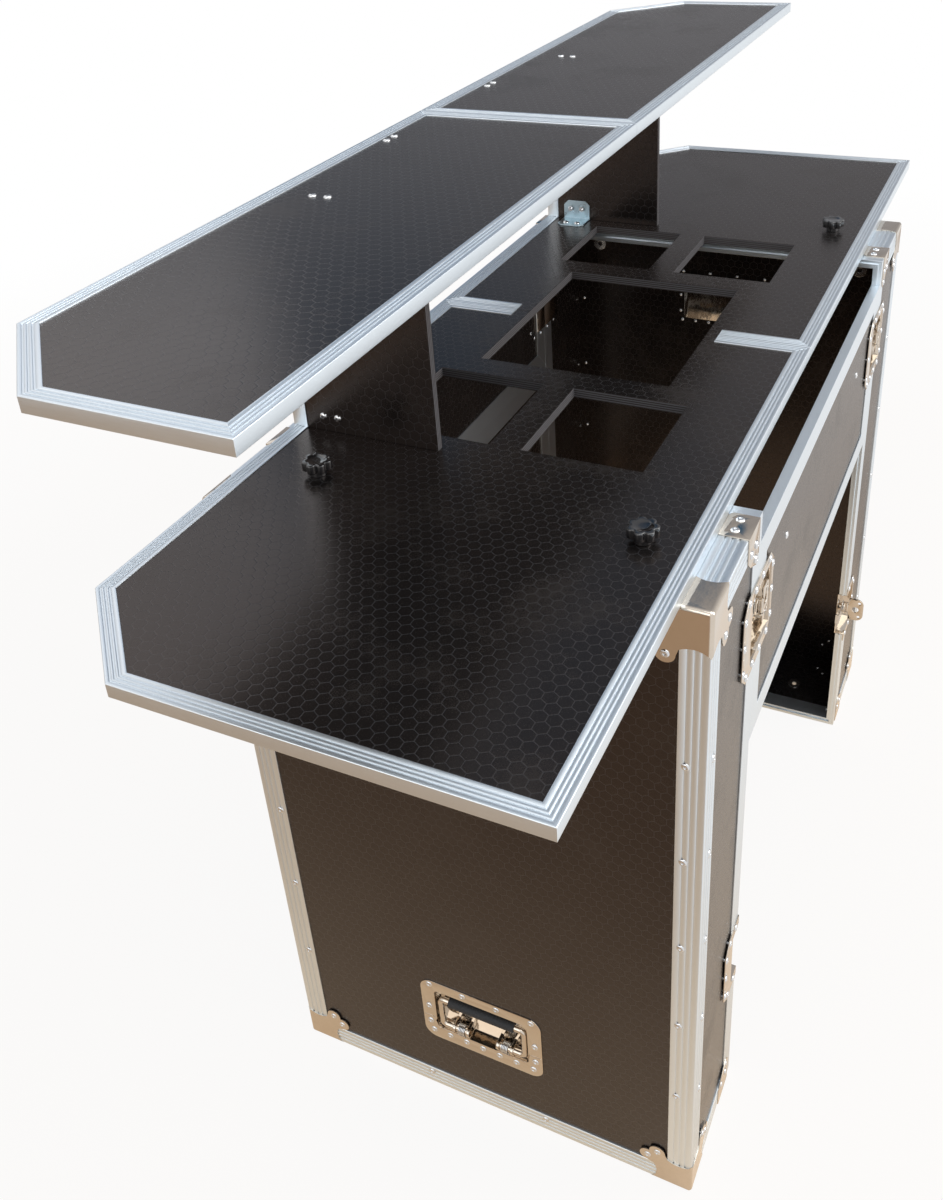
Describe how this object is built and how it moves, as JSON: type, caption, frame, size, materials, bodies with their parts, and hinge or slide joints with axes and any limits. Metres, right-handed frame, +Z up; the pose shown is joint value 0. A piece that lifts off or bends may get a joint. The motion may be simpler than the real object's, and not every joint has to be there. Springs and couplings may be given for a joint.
{
  "type": "portable bar",
  "caption": "Portable bar of two open flight-case legs, a cut-out worktop in two halves and a raised counter on fins, with removable panels, latches and handles.",
  "frame": {"origin": "on the floor under the centre of the whole bar's box", "axes": "+X along the bar, +Y towards the side where the bartender stands, +Z up"},
  "size_m": [1.6, 0.5758, 1.1592],
  "materials": {
    "film_ply": "film-faced birch plywood with a hexagon anti-slip pattern",
    "profile": "satin extruded profile",
    "chrome": "bright plated steel",
    "galvanised": "zinc plated steel",
    "knob_plastic": "glossy moulded",
    "rubber": "matt moulded"
  },
  "bodies": {
    "root": {"near_end_wall": "film_ply", "far_end_wall": "film_ply", "near_side_walls": "film_ply", "far_side_walls": "film_ply", "near_top_and_bottom_walls": "film_ply", "far_top_and_bottom_walls": "film_ply", "edge_angles": "profile", "rim_profiles": "profile", "corner_caps": "chrome", "corner_braces": "chrome", "rivets": "galvanised", "t_nuts": "galvanised", "handle_dishes": "chrome", "handle_springs": "galvanised", "latch_dishes": "chrome", "latch_strikes": "chrome", "latch_hooks": "chrome", "back_panel": "film_ply", "front_top_panel": "film_ply", "front_middle_panel": "film_ply", "front_bottom_panel": "film_ply", "panel_edging": "profile"},
    "near_top": {"near_worktop": "film_ply", "near_counter": "film_ply", "near_fin": "film_ply", "near_edging": "profile", "near_brackets": "galvanised", "near_bolts": "galvanised"},
    "near_front_knob": {"near_front_knob": "knob_plastic"},
    "near_back_knob": {"near_back_knob": "knob_plastic"},
    "near_lower_handle": {"near_lower_handle_bail": "chrome", "near_lower_handle_grip": "rubber"},
    "near_upper_handle": {"near_upper_handle_bail": "chrome", "near_upper_handle_grip": "rubber"},
    "near_back_upper_latch_cam": {"near_back_upper_latch_cam": "chrome"},
    "near_back_upper_latch_wing": {"near_back_upper_latch_wing": "chrome"},
    "near_front_lower_latch_cam": {"near_front_lower_latch_cam": "chrome"},
    "near_front_lower_latch_wing": {"near_front_lower_latch_wing": "chrome"},
    "near_front_upper_latch_cam": {"near_front_upper_latch_cam": "chrome"},
    "near_front_upper_latch_wing": {"near_front_upper_latch_wing": "chrome"},
    "far_top": {"far_worktop": "film_ply", "far_counter": "film_ply", "far_fin": "film_ply", "far_edging": "profile", "far_brackets": "galvanised", "far_bolts": "galvanised"},
    "far_front_knob": {"far_front_knob": "knob_plastic"},
    "far_back_knob": {"far_back_knob": "knob_plastic"},
    "far_lower_handle": {"far_lower_handle_bail": "chrome", "far_lower_handle_grip": "rubber"},
    "far_upper_handle": {"far_upper_handle_bail": "chrome", "far_upper_handle_grip": "rubber"},
    "far_back_lower_latch_cam": {"far_back_lower_latch_cam": "chrome"},
    "far_back_lower_latch_wing": {"far_back_lower_latch_wing": "chrome"},
    "far_back_upper_latch_cam": {"far_back_upper_latch_cam": "chrome"},
    "far_back_upper_latch_wing": {"far_back_upper_latch_wing": "chrome"},
    "far_front_lower_latch_cam": {"far_front_lower_latch_cam": "chrome"},
    "far_front_lower_latch_wing": {"far_front_lower_latch_wing": "chrome"},
    "far_front_upper_latch_cam": {"far_front_upper_latch_cam": "chrome"},
    "far_front_upper_latch_wing": {"far_front_upper_latch_wing": "chrome"}
  },
  "joints": [
    {"name": "near_top_lift", "type": "slide", "parent": "root", "child": "near_top", "axis": [0, 0, 1], "range_m": [0, 0.1]},
    {"name": "near_front_knob_turn", "type": "hinge", "parent": "near_top", "child": "near_front_knob", "pos_m": [0.455, -0.17935, 0.9], "axis": [0, 0, 1], "continuous": true},
    {"name": "near_back_knob_turn", "type": "hinge", "parent": "near_top", "child": "near_back_knob", "pos_m": [0.455, 0.17565, 0.9], "axis": [0, 0, 1], "continuous": true},
    {"name": "near_lower_handle_swing", "type": "hinge", "parent": "root", "child": "near_lower_handle", "pos_m": [0.5154, -0.01185, 0.134], "axis": [0, 1, 0], "range_deg": [0, 90], "stiffness_Nm_per_rad": 0.1, "springref_deg": -28.65},
    {"name": "near_upper_handle_swing", "type": "hinge", "parent": "root", "child": "near_upper_handle", "pos_m": [0.5154, -0.01185, 0.6955], "axis": [0, 1, 0], "range_deg": [0, 90], "stiffness_Nm_per_rad": 0.1, "springref_deg": -28.65},
    {"name": "near_back_upper_latch_turn", "type": "hinge", "parent": "root", "child": "near_back_upper_latch_cam", "pos_m": [0.3245, 0.26115, 0.752], "axis": [0, 1, 0], "range_deg": [0, 180]},
    {"name": "near_back_upper_latch_wing_fold", "type": "hinge", "parent": "near_back_upper_latch_cam", "child": "near_back_upper_latch_wing", "pos_m": [0.3245, 0.26085, 0.752], "axis": [0, 0, -1], "range_deg": [0, 90]},
    {"name": "near_front_lower_latch_turn", "type": "hinge", "parent": "root", "child": "near_front_lower_latch_cam", "pos_m": [0.3245, -0.28485, 0.248], "axis": [0, -1, 0], "range_deg": [0, 180]},
    {"name": "near_front_lower_latch_wing_fold", "type": "hinge", "parent": "near_front_lower_latch_cam", "child": "near_front_lower_latch_wing", "pos_m": [0.3245, -0.28455, 0.248], "axis": [0, 0, 1], "range_deg": [0, 90]},
    {"name": "near_front_upper_latch_turn", "type": "hinge", "parent": "root", "child": "near_front_upper_latch_cam", "pos_m": [0.3245, -0.28485, 0.752], "axis": [0, -1, 0], "range_deg": [0, 180]},
    {"name": "near_front_upper_latch_wing_fold", "type": "hinge", "parent": "near_front_upper_latch_cam", "child": "near_front_upper_latch_wing", "pos_m": [0.3245, -0.28455, 0.752], "axis": [0, 0, 1], "range_deg": [0, 90]},
    {"name": "far_top_lift", "type": "slide", "parent": "root", "child": "far_top", "axis": [0, 0, 1], "range_m": [0, 0.1]},
    {"name": "far_front_knob_turn", "type": "hinge", "parent": "far_top", "child": "far_front_knob", "pos_m": [-0.418, -0.17935, 0.9], "axis": [0, 0, 1], "continuous": true},
    {"name": "far_back_knob_turn", "type": "hinge", "parent": "far_top", "child": "far_back_knob", "pos_m": [-0.418, 0.17565, 0.9], "axis": [0, 0, 1], "continuous": true},
    {"name": "far_lower_handle_swing", "type": "hinge", "parent": "root", "child": "far_lower_handle", "pos_m": [-0.5154, -0.01185, 0.134], "axis": [0, -1, 0], "range_deg": [0, 90], "stiffness_Nm_per_rad": 0.1, "springref_deg": -28.65},
    {"name": "far_upper_handle_swing", "type": "hinge", "parent": "root", "child": "far_upper_handle", "pos_m": [-0.5154, -0.01185, 0.6955], "axis": [0, -1, 0], "range_deg": [0, 90], "stiffness_Nm_per_rad": 0.1, "springref_deg": -28.65},
    {"name": "far_back_lower_latch_turn", "type": "hinge", "parent": "root", "child": "far_back_lower_latch_cam", "pos_m": [-0.3695, 0.26115, 0.248], "axis": [0, 1, 0], "range_deg": [0, 180]},
    {"name": "far_back_lower_latch_wing_fold", "type": "hinge", "parent": "far_back_lower_latch_cam", "child": "far_back_lower_latch_wing", "pos_m": [-0.3695, 0.26085, 0.248], "axis": [0, 0, -1], "range_deg": [-90, 0]},
    {"name": "far_back_upper_latch_turn", "type": "hinge", "parent": "root", "child": "far_back_upper_latch_cam", "pos_m": [-0.3695, 0.26115, 0.752], "axis": [0, 1, 0], "range_deg": [0, 180]},
    {"name": "far_back_upper_latch_wing_fold", "type": "hinge", "parent": "far_back_upper_latch_cam", "child": "far_back_upper_latch_wing", "pos_m": [-0.3695, 0.26085, 0.752], "axis": [0, 0, -1], "range_deg": [0, 90]},
    {"name": "far_front_lower_latch_turn", "type": "hinge", "parent": "root", "child": "far_front_lower_latch_cam", "pos_m": [-0.3695, -0.28485, 0.248], "axis": [0, -1, 0], "range_deg": [0, 180]},
    {"name": "far_front_lower_latch_wing_fold", "type": "hinge", "parent": "far_front_lower_latch_cam", "child": "far_front_lower_latch_wing", "pos_m": [-0.3695, -0.28455, 0.248], "axis": [0, 0, 1], "range_deg": [0, 90]},
    {"name": "far_front_upper_latch_turn", "type": "hinge", "parent": "root", "child": "far_front_upper_latch_cam", "pos_m": [-0.3695, -0.28485, 0.752], "axis": [0, -1, 0], "range_deg": [0, 180]},
    {"name": "far_front_upper_latch_wing_fold", "type": "hinge", "parent": "far_front_upper_latch_cam", "child": "far_front_upper_latch_wing", "pos_m": [-0.3695, -0.28455, 0.752], "axis": [0, 0, 1], "range_deg": [0, 90]}
  ]
}
